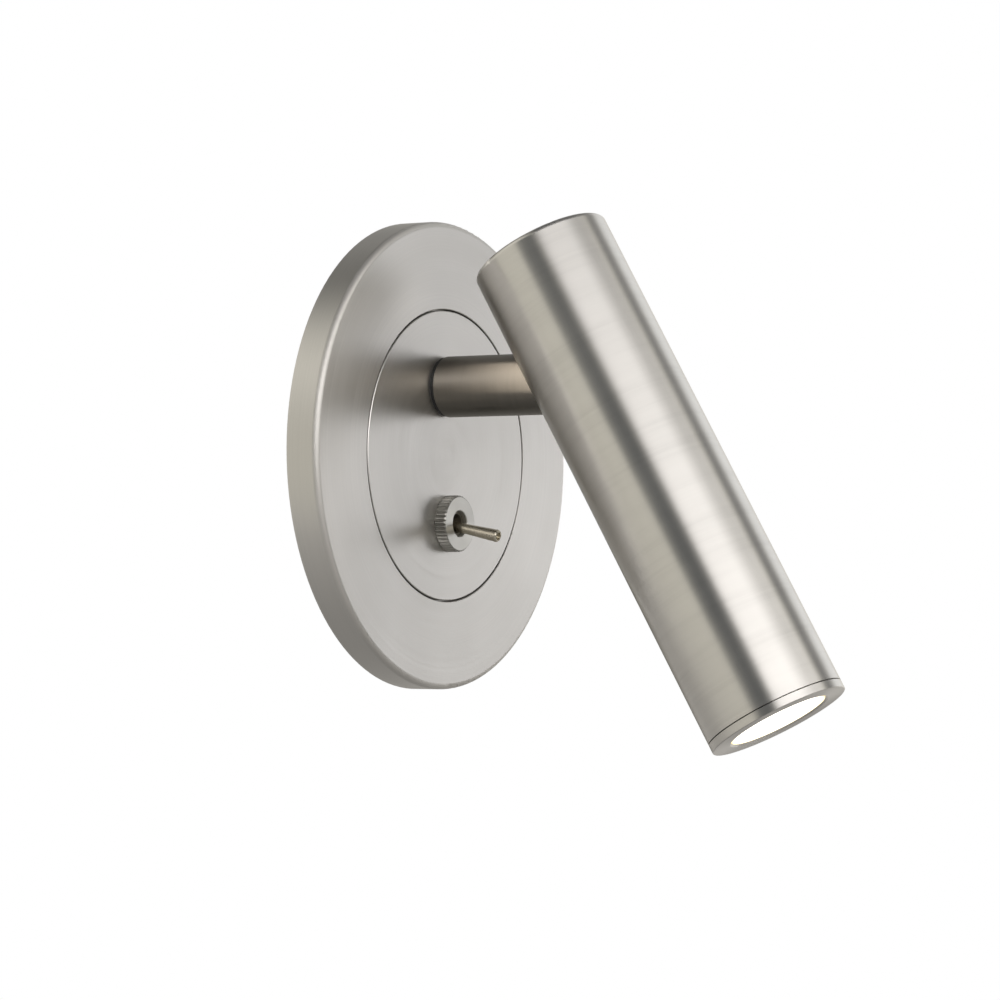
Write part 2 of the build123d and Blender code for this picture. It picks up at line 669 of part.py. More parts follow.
with BuildPart() as swivel_nipple:
    with BuildSketch(at_depth(NIPPLE_BACK_DEPTH, ARM_Z)):
        Circle(NIPPLE_R)
        Circle(NIPPLE_BORE_R, mode=Mode.SUBTRACT)
    extrude(amount=ARM_BASE_DEPTH + PLUG_LENGTH - NIPPLE_SHORT - NIPPLE_BACK_DEPTH)
    with BuildSketch(at_depth(NIPPLE_BACK_DEPTH, ARM_Z)):
        with Locations((NIPPLE_FLAT, 0)):
            Rectangle(NIPPLE_R, 2 * NIPPLE_R, align=(Align.MIN, Align.CENTER))
    extrude(amount=back_washer_depth - NIPPLE_BACK_DEPTH, mode=Mode.SUBTRACT)
swivel_nipple.part.label = "swivel_nipple"

back_washer_plane = at_depth(back_washer_depth, ARM_Z)
back_washer = flat_ring(back_washer_plane, BACK_WASHER_R, NIPPLE_R + RUNNING_GAP, BACK_WASHER)
back_washer.part.label = "back_washer"

with BuildPart() as stop_washer:
    with BuildSketch(at_depth(stop_washer_depth, ARM_Z)):
        Circle(BACK_WASHER_R)
        Rectangle(STOP_TAB[0], STOP_TAB[1], align=(Align.CENTER, Align.MIN))
        with BuildSketch(mode=Mode.SUBTRACT):
            Circle(NIPPLE_R + THREAD_GAP)
            with Locations((NIPPLE_FLAT + THREAD_GAP, 0)):
                Rectangle(NIPPLE_R, 2 * NIPPLE_R, align=(Align.MIN, Align.CENTER), mode=Mode.SUBTRACT)
    extrude(amount=STOP_WASHER)
stop_washer.part.label = "stop_washer"

swivel_spring = dished_ring(
    section_at(ARM_Z),
    axis_at(ARM_Z),
    *SWIVEL_SPRING_R,
    -stop_washer_depth,
    SWIVEL_SPRING,
    SWIVEL_SPRING_THICKNESS,
)
swivel_spring.part.label = "swivel_spring"

swivel_locknut = hex_nut(at_depth(locknut_depth, ARM_Z), LOCKNUT[0], NIPPLE_R + THREAD_GAP, LOCKNUT[1])
swivel_locknut.part.label = "swivel_locknut"

STOP_PIN_END_DEPTH = 3.8
with BuildPart() as stop_pin:
    with BuildSketch(at_depth(STOP_PIN_END_DEPTH, ARM_Z - STOP_RADIUS)):
        Circle(STOP_PIN_R)
    extrude(amount=PLATE_INNER_DEPTH + TAPPED_DEPTH - STOP_PIN_END_DEPTH)
stop_pin.part.label = "stop_pin"

SPIGOT_LENGTH = 14.0
SPIGOT_BORE_R = 2.6
LEAD_EXIT_DEPTH = 46.0
LEAD_EXIT_R = 2.4
with BuildPart() as hinge_block:
    with BuildSketch(at_depth(ARM_END_DEPTH, ARM_Z)):
        Circle(ARM_R)
    extrude(amount=PIVOT_DEPTH + ARM_R - ARM_END_DEPTH)
    with BuildSketch(Plane.YZ):
        with Locations((-PIVOT_DEPTH, ARM_Z)):
            Circle(ARM_R)
            Rectangle(PIVOT_DEPTH - ARM_END_DEPTH, 2 * ARM_R, align=(Align.MIN, Align.CENTER))
    extrude(amount=ARM_R, both=True, mode=Mode.INTERSECT)
    with BuildSketch(at_depth(TONGUE_DEPTH, ARM_Z)):
        with GridLocations(2 * TONGUE_X + ARM_R, 0, 2, 1):
            Rectangle(ARM_R, 2 * ARM_R)
    extrude(amount=PIVOT_DEPTH, mode=Mode.SUBTRACT)
    with BuildSketch(at_depth(ARM_END_DEPTH, ARM_Z)):
        Circle(ARM_BORE_R - THREAD_GAP)
    extrude(amount=-SPIGOT_LENGTH)
    with BuildSketch(at_depth(ARM_END_DEPTH - SPIGOT_LENGTH, ARM_Z)):
        Circle(SPIGOT_BORE_R)
    extrude(amount=LEAD_EXIT_DEPTH - ARM_END_DEPTH + SPIGOT_LENGTH, mode=Mode.SUBTRACT)
    with BuildSketch(Plane.XY.offset(ARM_Z + LEAD_R)):
        with Locations((0, -LEAD_EXIT_DEPTH)):
            Circle(LEAD_EXIT_R)
    extrude(amount=-LEAD_R - ARM_R, mode=Mode.SUBTRACT)
    with BuildSketch(Plane.YZ):
        with Locations((-PIVOT_DEPTH, ARM_Z)):
            Circle(BOLT_R + RUNNING_GAP)
    extrude(amount=ARM_R, both=True, mode=Mode.SUBTRACT)
hinge_block.part.label = "hinge_block"

ARM_LEAD_X = 1.1
ARM_LEAD_BEND = 1.5
ARM_LEAD_START = 5.0
ARM_LEAD_SHORT = 0.5
arm_wires = round_leads(
    [
        (
            [
                (x, -NIPPLE_BACK_DEPTH + ARM_LEAD_START, ARM_Z),
                (x, -LEAD_EXIT_DEPTH, ARM_Z),
                (x, -LEAD_EXIT_DEPTH, ARM_Z - ARM_R + ARM_LEAD_SHORT),
            ],
            ARM_LEAD_BEND,
        )
        for x in (-ARM_LEAD_X, ARM_LEAD_X)
    ],
    LEAD_R,
)
arm_wires.part.label = "arm_wires"

SWITCH_LEAD_R = 0.7
SWITCH_LEAD_BEND = 1.2
SWITCH_LEAD_IN = 3.0
lug_lead_y = -LUG_END_DEPTH - LUG_HOLE_IN
switch_lead = round_leads(
    [
        (
            [
                (-BARREL_X, -BARREL_DEPTH, BLOCK_Z - SWITCH_LEAD_IN),
                (-BARREL_X, -BARREL_DEPTH, SWITCH_Z + 2 * CONTACT_OFFSET),
                (-BARREL_X, lug_lead_y, SWITCH_Z + CONTACT_OFFSET),
                (-LUG[0] / 2, lug_lead_y, SWITCH_Z + CONTACT_OFFSET),
            ],
            SWITCH_LEAD_BEND,
        )
    ],
    SWITCH_LEAD_R,
)
switch_lead.part.label = "switch_lead"

# ---------------------------------------------------------------- head: tube, cap and bezel

CAP_THICKNESS = 2.4
CAP_RECESS = 0.4
SLOT_HALF_WIDTH = ARM_R + SLOT_SIDE_CLEARANCE


def slot_reach(tilt):
    """How far up the head's back the arm's upper side comes through at this tilt."""
    return HEAD_R * tan(radians(tilt)) + ARM_R / cos(radians(tilt))


slot_top = slot_reach(TILT_MAX) + SLOT_CLEARANCE
slot_bottom = -slot_reach(-TILT_MIN) - SLOT_CLEARANCE

CSK_R = 2.8
CSK_HEIGHT = 1.25
CORE_SCREW_R = 1.5
CORE_SCREW_LENGTH = 5.6
CORE_SCREW_SINK = 0.25
CORE_SCREW_SOCKET = (2.0, 1.1)

core_screw_planes = []
for side in (-1, 1):
    turn = radians(side * CORE_SCREW_ANGLE)
    outwards = Vector(sin(turn), 0, 0) + head_back * cos(turn)
    place = pivot + head_up * CORE_SCREW_RISE + outwards * (HEAD_R - CORE_SCREW_SINK)
    core_screw_planes.append(Plane(origin=place, x_dir=head_up, z_dir=outwards))

with BuildPart() as head_tube:
    with BuildSketch(head_section):
        with BuildLine():
            Polyline(
                (HEAD_BORE_R, HEAD_SEAM + SEAM_GAP / 2),
                (HEAD_R, HEAD_SEAM + SEAM_GAP / 2),
                (HEAD_R, HEAD_TOP),
                (HEAD_BORE_R, HEAD_TOP),
                close=True,
            )
        make_face()
    revolve(axis=head_axis)
    top_edges = head_tube.edges().filter_by(GeomType.CIRCLE).sort_by(head_axis)[-2:]
    fillet(top_edges.sort_by(SortBy.RADIUS)[-1], HEAD_EDGE_R)
    with BuildSketch(head_rear):
        with Locations((0, (slot_top + slot_bottom) / 2)):
            SlotOverall(slot_top - slot_bottom, 2 * SLOT_HALF_WIDTH, rotation=90)
    extrude(amount=HEAD_R, mode=Mode.SUBTRACT)
    for plane in core_screw_planes:
        with BuildSketch(plane.offset(1)):
            Circle(CSK_R + 2 * THREAD_GAP)
        extrude(amount=-1, mode=Mode.SUBTRACT)
        with BuildSketch(plane):
            Circle(CSK_R + 2 * THREAD_GAP)
        with BuildSketch(plane.offset(-CSK_HEIGHT)):
            Circle(CORE_SCREW_R)
        loft(mode=Mode.SUBTRACT)
        with BuildSketch(plane.offset(-CSK_HEIGHT)):
            Circle(CORE_SCREW_R)
        extrude(amount=-1, mode=Mode.SUBTRACT)
head_tube.part.label = "head_tube"

with BuildPart() as core_screws:
    for plane in core_screw_planes:
        with BuildSketch(plane):
            Circle(CSK_R)
        with BuildSketch(plane.offset(-CSK_HEIGHT)):
            Circle(CORE_SCREW_R - THREAD_GAP)
        loft()
        with BuildSketch(plane.offset(-CSK_HEIGHT)):
            Circle(CORE_SCREW_R - THREAD_GAP)
        extrude(amount=-(CORE_SCREW_LENGTH - CSK_HEIGHT))
        with BuildSketch(plane):
            RegularPolygon(CORE_SCREW_SOCKET[0] / 2, 6, major_radius=False)
        extrude(amount=-CORE_SCREW_SOCKET[1], mode=Mode.SUBTRACT)
core_screws.part.label = "core_screws"

cap_top = HEAD_TOP - CAP_RECESS
top_cap = turned(
    head_section,
    head_axis,
    [
        (0, cap_top),
        (FIT_R - EDGE_BREAK, cap_top),
        (FIT_R, cap_top - EDGE_BREAK),
        (FIT_R, cap_top - CAP_THICKNESS),
        (0, cap_top - CAP_THICKNESS),
    ],
)
top_cap.part.label = "top_cap"

SPIGOT_TOP = -84.5
SPIGOT_INNER_R = 14.1
BEZEL_THREAD_R = 15.62
WINDOW_R = LENS_R + 0.1
WINDOW_FLARE = 0.5
bezel_ring = turned(
    head_section,
    head_axis,
    [
        (WINDOW_R, HEAD_SEAM),
        (WINDOW_R, HEAD_END + WINDOW_FLARE),
        (WINDOW_R + WINDOW_FLARE, HEAD_END),
        (HEAD_R - EDGE_BREAK, HEAD_END),
        (HEAD_R, HEAD_END + EDGE_BREAK),
        (HEAD_R, HEAD_SEAM - SEAM_GAP / 2),
        (BEZEL_THREAD_R, HEAD_SEAM - SEAM_GAP / 2),
        (BEZEL_THREAD_R, SPIGOT_TOP),
        (SPIGOT_INNER_R, SPIGOT_TOP),
        (SPIGOT_INNER_R, HEAD_SEAM),
    ],
)
bezel_ring.part.label = "bezel_ring"

# ---------------------------------------------------------------- tilt joint

CORE_PASSAGE_Y = 6.0
CORE_TAP_DEEPER = 0.5

with BuildPart() as hinge_core:
    with BuildSketch(across_head(CORE_BOTTOM)):
        Circle(FIT_R)
        with Locations((0, CORE_PASSAGE_Y)):
            Circle(SPIGOT_BORE_R, mode=Mode.SUBTRACT)
    extrude(amount=CORE_TOP - CORE_BOTTOM)
    for side in (-1, 1):
        with BuildSketch(head_side.offset(side * CHEEK_X)):
            Circle(CHEEK_R)
            Rectangle(2 * CHEEK_R, -CORE_TOP, align=(Align.CENTER, Align.MAX))
            Circle(BOLT_R + THREAD_GAP, mode=Mode.SUBTRACT)
        extrude(amount=side * CHEEK_THICKNESS)
    for plane in core_screw_planes:
        with BuildSketch(plane):
            Circle(CORE_SCREW_R)
        extrude(amount=-CORE_SCREW_LENGTH - CORE_TAP_DEEPER, mode=Mode.SUBTRACT)
hinge_core.part.label = "hinge_core"

BOLT_HEAD = (4.0, 3.0)
PIVOT_NUT = (8.0, 2.5)
BOLT_TIP_X = 14.6
TILT_WASHER_R = 5.2
BOLT_SOCKET = 3.0
pivot_bolt = socket_screws(
    [Plane(origin=pivot - Vector(CHEEK_OUTER_X, 0, 0), x_dir=head_up, z_dir=(-1, 0, 0))],
    *BOLT_HEAD,
    BOLT_R,
    CHEEK_OUTER_X + BOLT_TIP_X,
    BOLT_SOCKET,
)
pivot_bolt.part.label = "pivot_bolt"

pivot_nut = hex_nut(head_side.offset(CHEEK_OUTER_X), PIVOT_NUT[0], BOLT_R + THREAD_GAP, PIVOT_NUT[1])
pivot_nut.part.label = "pivot_nut"

with BuildPart() as tilt_washers:
    for side in (-1, 1):
        with BuildSketch(head_side.offset(side * TONGUE_X)):
            Circle(TILT_WASHER_R)
            Circle(BOLT_R + THREAD_GAP, mode=Mode.SUBTRACT)
        extrude(amount=side * TILT_WASHER)
tilt_washers.part.label = "tilt_washers"

TILT_SPRING_R = (2.6, 5.0)
TILT_SPRING_THICKNESS = 0.3
spring_seat = TONGUE_X + TILT_WASHER
with BuildPart() as tilt_springs:
    for side in (-1, 1):
        with BuildSketch(Plane(origin=pivot, x_dir=head_up, z_dir=head_back)):
            with BuildLine():
                Polyline(
                    (TILT_SPRING_R[0], -side * (spring_seat + TILT_SPRING)),
                    (TILT_SPRING_R[0], -side * (spring_seat + TILT_SPRING - TILT_SPRING_THICKNESS)),
                    (TILT_SPRING_R[1], -side * spring_seat),
                    (TILT_SPRING_R[1], -side * (spring_seat + TILT_SPRING_THICKNESS)),
                    close=True,
                )
            make_face()
        revolve(axis=Axis(pivot, (1, 0, 0)))
tilt_springs.part.label = "tilt_springs"

# ---------------------------------------------------------------- driver, heat sink and LED

CASE_R = 15.2
CASE_WALL = 1.0
BOARD_Y = -4.0
BOARD = (24.0, 1.6)
BOARD_SPAN = (-61.0, -28.0)
SUPPLY_LEAD = (1.3, CORE_PASSAGE_Y)
with BuildPart() as driver_case:
    with BuildSketch(across_head(SINK_TOP)):
        Circle(CASE_R)
    extrude(amount=CORE_BOTTOM - SINK_TOP)
    with BuildSketch(across_head(SINK_TOP)):
        Circle(CASE_R - CASE_WALL)
    extrude(amount=CORE_BOTTOM - SINK_TOP - CASE_WALL, mode=Mode.SUBTRACT)
    with BuildSketch(across_head(CORE_BOTTOM)):
        with Locations((-SUPPLY_LEAD[0], SUPPLY_LEAD[1]), SUPPLY_LEAD):
            Circle(LEAD_R + RUNNING_GAP)
    extrude(amount=-CASE_WALL, mode=Mode.SUBTRACT)
driver_case.part.label = "driver_case"

with BuildPart() as driver_board:
    with BuildSketch(across_head(BOARD_SPAN[0])):
        with Locations((0, BOARD_Y)):
            Rectangle(*BOARD)
    extrude(amount=BOARD_SPAN[1] - BOARD_SPAN[0])
driver_board.part.label = "driver_board"

board_middle = pivot + head_back * (BOARD_Y + BOARD[1] / 2)
board_face = Plane(origin=board_middle, x_dir=(-1, 0, 0), z_dir=head_back)

# across the board, rise, width, height and how far it stands off the board
BLOCK_PARTS = [
    (0.0, -45.0, 14.0, 12.0, 10.5),
    (6.5, -57.0, 7.0, 6.0, 6.0),
    (-6.5, -57.5, 8.0, 5.0, 8.0),
]
# across the board, rise, radius and how far it stands off the board
ROUND_PARTS = [(5.0, -33.0, 3.9, 8.0), (-5.5, -33.0, 3.2, 4.6)]
with BuildPart() as driver_components:
    for x, rise, width, height, depth in BLOCK_PARTS:
        with BuildSketch(board_face):
            with Locations((x, rise)):
                Rectangle(width, height)
        extrude(amount=depth)
    for x, rise, radius, depth in ROUND_PARTS:
        with BuildSketch(board_face):
            with Locations((x, rise)):
                Circle(radius)
        extrude(amount=depth)
driver_components.part.label = "driver_components"

FIN_THICKNESS = 1.4
FIN_R = 15.46
SINK_CORE_R = 6.0
LED_LEAD_R = 0.7
LED_LEAD_CIRCLE_R = 9.0
LED_LEAD_START = 15.0
LED_SCREW_R = 1.0
LED_SCREW_X = 9.0
with BuildPart() as heat_sink:
    with BuildSketch(across_head(SINK_BOTTOM)):
        Circle(FIT_R)
    extrude(amount=SINK_BASE_TOP - SINK_BOTTOM)
    with BuildSketch(across_head(SINK_BASE_TOP)):
        Circle(SINK_CORE_R)
        with PolarLocations(0, SINK_FINS):
            Rectangle(FIN_R, FIN_THICKNESS, align=(Align.MIN, Align.CENTER))
    extrude(amount=SINK_TOP - SINK_BASE_TOP)
    with BuildSketch(across_head(SINK_BOTTOM)):
        with PolarLocations(LED_LEAD_CIRCLE_R, 2, start_angle=LED_LEAD_START):
            Circle(LED_LEAD_R + RUNNING_GAP)
        with GridLocations(2 * LED_SCREW_X, 0, 2, 1):
            Circle(LED_SCREW_R)
    extrude(amount=SINK_BASE_TOP - SINK_BOTTOM, mode=Mode.SUBTRACT)
heat_sink.part.label = "heat_sink"

LED_BOARD_R = 11.2
LED_BOARD = 1.6
LED_CHIP_R = 5.5
LED_CHIP = 0.9
led_board_rise = SINK_BOTTOM - LED_BOARD
with BuildPart() as led_board:
    with BuildSketch(across_head(led_board_rise)):
        Circle(LED_BOARD_R)
        with GridLocations(2 * LED_SCREW_X, 0, 2, 1):
            Circle(LED_SCREW_R, mode=Mode.SUBTRACT)
    extrude(amount=LED_BOARD)
led_board.part.label = "led_board"

with BuildPart() as led_chip:
    with BuildSketch(across_head(led_board_rise)):
        Circle(LED_CHIP_R)
    extrude(amount=-LED_CHIP)
led_chip.part.label = "led_chip"

led_screw_planes = [
    Plane(origin=pivot + head_up * led_board_rise + Vector(x, 0, 0), x_dir=(1, 0, 0), z_dir=-head_up)
    for x in (-LED_SCREW_X, LED_SCREW_X)
]
LED_HEAD = (1.9, 1.2)
LED_SOCKET = 1.3
LED_SCREW_REACH = 4.0
led_screws = socket_screws(
    led_screw_planes,
    *LED_HEAD,
    LED_SCREW_R - THREAD_GAP,
    LED_BOARD + LED_SCREW_REACH,
    LED_SOCKET,
)
led_screws.part.label = "led_screws"

# ---------------------------------------------------------------- lens and what holds it

FLANGE = 1.4
GASKET = 0.8
LENS_TOP_RISE = -82.0
LENS_POCKET_R = (4.0, 4.5)
LENS_POCKET_DEPTH = (3.2, 3.0)
LENS_TOP_R = 6.6
LENS_BOWL_MIDDLE = (10.4, -85.0)
LENS_BOWL_R = 12.6
lens_front = HEAD_END + LENS_RECESS
flange_top = HEAD_SEAM + FLANGE
with BuildPart() as lens:
    with BuildSketch(head_section):
        with BuildLine():
            Polyline(
                (LENS_BOWL_R, flange_top),
                (LENS_FLANGE_R, flange_top),
                (LENS_FLANGE_R, HEAD_SEAM),
                (LENS_R, HEAD_SEAM),
                (LENS_R, lens_front),
                (0, lens_front),
                (0, LENS_TOP_RISE - LENS_POCKET_DEPTH[1]),
                (LENS_POCKET_R[0], LENS_TOP_RISE - LENS_POCKET_DEPTH[0]),
                (LENS_POCKET_R[1], LENS_TOP_RISE),
                (LENS_TOP_R, LENS_TOP_RISE),
            )
            ThreePointArc((LENS_TOP_R, LENS_TOP_RISE), LENS_BOWL_MIDDLE, (LENS_BOWL_R, flange_top))
        make_face()
    revolve(axis=head_axis)
lens.part.label = "lens"

HOLDER_R = (13.9, 12.9)
holder_rise = flange_top + GASKET
lens_gasket = flat_ring(across_head(flange_top), *HOLDER_R, GASKET)
lens_gasket.part.label = "lens_gasket"

optic_holder = flat_ring(across_head(holder_rise), *HOLDER_R, SINK_BOTTOM - holder_rise)
optic_holder.part.label = "optic_holder"

# ---------------------------------------------------------------- leads inside the head

SUPPLY_LEAD_TOP = -10.4
SUPPLY_LEAD_LENGTH = 15.0
LED_LEAD_LENGTH = 18.5
with BuildPart() as supply_leads:
    with BuildSketch(across_head(SUPPLY_LEAD_TOP)):
        with Locations((-SUPPLY_LEAD[0], SUPPLY_LEAD[1]), SUPPLY_LEAD):
            Circle(LEAD_R)
    extrude(amount=-SUPPLY_LEAD_LENGTH)
supply_leads.part.label = "supply_leads"

with BuildPart() as led_leads:
    with BuildSketch(across_head(SINK_BOTTOM)):
        with PolarLocations(LED_LEAD_CIRCLE_R, 2, start_angle=LED_LEAD_START):
            Circle(LED_LEAD_R)
    extrude(amount=LED_LEAD_LENGTH)
led_leads.part.label = "led_leads"

# ---------------------------------------------------------------- write the pieces

pieces = [
    wall_bracket, canopy_ring, front_disc, disc_screws, grub_screws, earth_washer, earth_screw,
    terminal_block, terminal_inserts, terminal_screws, block_screw, switch_face_nut,
    switch_lock_washer, switch_hex_nut, switch_bushing, switch_body, switch_terminals, switch_lead,
    contact_rocker, switch_lever, switch_plunger, switch_spring, base_washer, arm_tube, arm_plug,
    swivel_nipple, back_washer, stop_washer, swivel_spring, swivel_locknut, stop_pin, hinge_block,
    arm_wires, head_tube, core_screws, top_cap, bezel_ring, hinge_core, pivot_bolt, pivot_nut,
    tilt_washers, tilt_springs, driver_case, driver_board, driver_components, heat_sink, led_board,
    led_chip, led_screws, lens, lens_gasket, optic_holder, supply_leads, led_leads,
]
os.makedirs("parts", exist_ok=True)
for piece in pieces:
    export_step(piece.part, f"parts/{piece.part.label}.step")
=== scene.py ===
import bpy
from math import cos, degrees, radians, sin
from mathutils import Euler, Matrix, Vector

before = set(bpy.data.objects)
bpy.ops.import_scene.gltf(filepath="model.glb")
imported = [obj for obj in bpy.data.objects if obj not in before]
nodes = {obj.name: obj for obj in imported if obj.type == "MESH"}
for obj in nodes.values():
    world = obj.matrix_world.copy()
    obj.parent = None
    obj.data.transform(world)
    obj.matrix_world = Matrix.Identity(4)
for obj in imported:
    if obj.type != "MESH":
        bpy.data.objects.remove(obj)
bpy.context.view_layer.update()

# Every length is in metres, in the part's own frame: +Z up, the wall is Y = 0 and the room is on the -Y side.
MM = 0.001
INWARD = Vector((0, 1, 0))
PLATE_CENTRE = Vector((0, 0, 0))
ARM_CENTRE = Vector((0, 0, 16.85)) * MM
ARM_MIDDLE = ARM_CENTRE + Vector((0, -30, 0)) * MM
HEAD_TILT = radians(28.7)
HEAD_PIVOT = Vector((0, -54.2, 16.85)) * MM
HEAD_UP = Vector((0, sin(HEAD_TILT), cos(HEAD_TILT)))
SWITCH_CENTRE = Vector((0, 0, -16.8)) * MM
LEVER_TILT = radians(11.5)
LEVER_PIVOT = Vector((0, -7.05, -16.8)) * MM
LEVER_OUT = Vector((0, -cos(LEVER_TILT), -sin(LEVER_TILT)))

# ---------------------------------------------------------------- camera

camera_data = bpy.data.cameras.new("photo_camera")
camera_data.sensor_width = 36.0
camera_data.lens = 140.233
camera_data.clip_end = 50.0
camera = bpy.data.objects.new("photo_camera", camera_data)
camera.location = (-0.812532, -0.517800, 0.002758)
camera.rotation_euler = Euler((radians(89.16334), radians(1.35786), radians(-58.69818)), "XYZ")
bpy.context.scene.collection.objects.link(camera)
bpy.context.scene.camera = camera

# ---------------------------------------------------------------- node helpers

# Nearly all of a noise lies within the wide span. The narrow one cuts off more of it, for stronger contrast.
WIDE = (0.3, 0.7)
NARROW = (0.35, 0.65)

# The sockets of a mix node that take and give colours.
MIX_FACTOR, MIX_A, MIX_B, MIX_RESULT = 0, 6, 7, 2


class Graph:
    """A node tree with short ways to add the nodes used here.

    Inputs may be numbers, vectors or other nodes' outputs."""

    def __init__(self, tree):
        self.tree = tree
        tree.nodes.clear()

    def add(self, kind, inputs=(), **settings):
        made = self.tree.nodes.new(kind)
        for name, value in settings.items():
            setattr(made, name, value)
        for key, value in dict(inputs).items():
            if isinstance(value, bpy.types.NodeSocket):
                self.tree.links.new(value, made.inputs[key])
            else:
                made.inputs[key].default_value = value
        return made

    def math(self, operation, a, b=0.0):
        return self.add("ShaderNodeMath", {0: a, 1: b}, operation=operation).outputs[0]

    def vector(self, operation, a, b=(0, 0, 0)):
        return self.add("ShaderNodeVectorMath", {0: a, 1: b}, operation=operation).outputs[0]

    def dot(self, a, b):
        return self.add("ShaderNodeVectorMath", {0: a, 1: b}, operation="DOT_PRODUCT").outputs["Value"]

    def length(self, a):
        return self.add("ShaderNodeVectorMath", {0: a}, operation="LENGTH").outputs["Value"]

    def scale(self, a, factor):
        return self.add("ShaderNodeVectorMath", {0: a, "Scale": factor}, operation="SCALE").outputs[0]

    def carry(self, kind, vector, source, target):
        """A vector or a normal in world space turned into the object's, or back."""
        settings = {"vector_type": kind, "convert_from": source, "convert_to": target}
        return self.add("ShaderNodeVectorTransform", {0: vector}, **settings).outputs[0]

    def place(self):
        return self.add("ShaderNodeTexCoord").outputs["Object"]

    def noise(self, vector, scale, detail=2.0, roughness=0.5):
        inputs = {"Vector": vector, "Scale": scale, "Detail": detail, "Roughness": roughness}
        return self.add("ShaderNodeTexNoise", inputs).outputs["Fac"]

    def bump(self, height, strength, distance):
        inputs = {"Strength": strength, "Distance": distance, "Height": height}
        return self.add("ShaderNodeBump", inputs).outputs[0]

    def remap(self, value, span, result=(0.0, 1.0), kind="LINEAR"):
        """A value's place in a span, carried over to the two results at the span's ends, and no further."""
        inputs = {"Value": value, "From Min": span[0], "From Max": span[1], "To Min": result[0], "To Max": result[1]}
        return self.add("ShaderNodeMapRange", inputs, interpolation_type=kind).outputs["Result"]

    def step_up(self, value, start, end, top=1.0):
        return self.remap(value, (start, end), (0.0, top), "SMOOTHSTEP")

    def step_down(self, value, start, end):
        return self.remap(value, (start, end), (1.0, 0.0), "SMOOTHSTEP")

    def between(self, value, low, high, softness):
        """1 from low to high and 0 outside them, with a soft step at both."""
        up = self.step_up(value, low - softness, low + softness)
        down = self.step_down(value, high - softness, high + softness)
        return self.math("MULTIPLY", up, down)

    def mix(self, factor, a, b):
        inputs = {MIX_FACTOR: factor, MIX_A: a, MIX_B: b}
        return self.add("ShaderNodeMix", inputs, data_type="RGBA").outputs[MIX_RESULT]

    def mottle(self, noise, span, low, high):
        """One colour where a noise is low, turning to another where it is high."""
        return self.mix(self.remap(noise, span), low, high)

    def looked_at(self):
        """Whether a ray comes straight from the camera, through glass or off metal, and whether it comes off metal."""
        rays = self.add("ShaderNodeLightPath").outputs
        direct = self.math("MAXIMUM", rays["Is Camera Ray"], rays["Is Transmission Ray"])
        return self.math("MAXIMUM", direct, rays["Is Glossy Ray"]), rays["Is Glossy Ray"]

    def finish(self, shader, output="ShaderNodeOutputMaterial"):
        self.add(output, {"Surface": shader.outputs[0]})

    def finish_principled(self, inputs):
        self.finish(self.add("ShaderNodeBsdfPrincipled", inputs))


def rgb(r, g, b):
    return (r, g, b, 1.0)


def grey(level):
    return rgb(level, level, level)


def shade(colour, factor=1.0):
    return rgb(*[channel * factor for channel in colour])


def new_material(name):
    material = bpy.data.materials.new(name)
    material.use_nodes = True
    return material, Graph(material.node_tree)


def about_axis(graph, origin, axis):
    """Where a point is about an axis, in object space: along it, out from it, and its unit direction out."""
    offset = graph.vector("SUBTRACT", graph.place(), origin)
    along = graph.dot(offset, axis)
    outwards = graph.vector("SUBTRACT", offset, graph.scale(axis, along))
    return along, graph.length(outwards), graph.vector("NORMALIZE", outwards)


# ---------------------------------------------------------------- brushed metal

# The noises of the grooves and of the broad bands among them hardly change round the axis. Along it, the bands
# change at this scale and the grooves at the one given for each metal. The patches of wear are the same all ways.
GROOVES_ROUND = 0.6
GROOVE_DETAIL = 2.0
GROOVE_HARSHNESS = 0.55
BANDS_ROUND = 0.5
BANDS_PER_METRE = 260.0
PATCHES_PER_METRE = 45.0
PATCH_DETAIL = 3.0

# Going out from the axis counts for less than going along it, so the rings on an end are wider than the grooves.
RING_SHARE = 0.83

# How far the grooves and the patches move the roughness, and how much darker the grooves are.
GROOVE_ROUGHNESS = (-0.03, 0.04)
PATCH_ROUGHNESS = (-0.015, 0.02)
GROOVE_DARKENING = 0.07
GROOVE_BUMP = 0.35
GROOVE_HEIGHT = 0.02 * MM

# Painted shade in a knurl's cuts: they are this much of the metal's colour, within this distance of the knurl's own
# radius.
KNURL_PAINTED_SHADE = 0.55
KNURL_SHADE_FADE = 0.15 * MM

# A rounded edge is rougher by this much, coming in over these distances outwards and towards the front.
EDGE_ROUGHNESS = 0.16
EDGE_FADE_OUT = 0.5 * MM
EDGE_FADE_FORWARD = 0.4 * MM


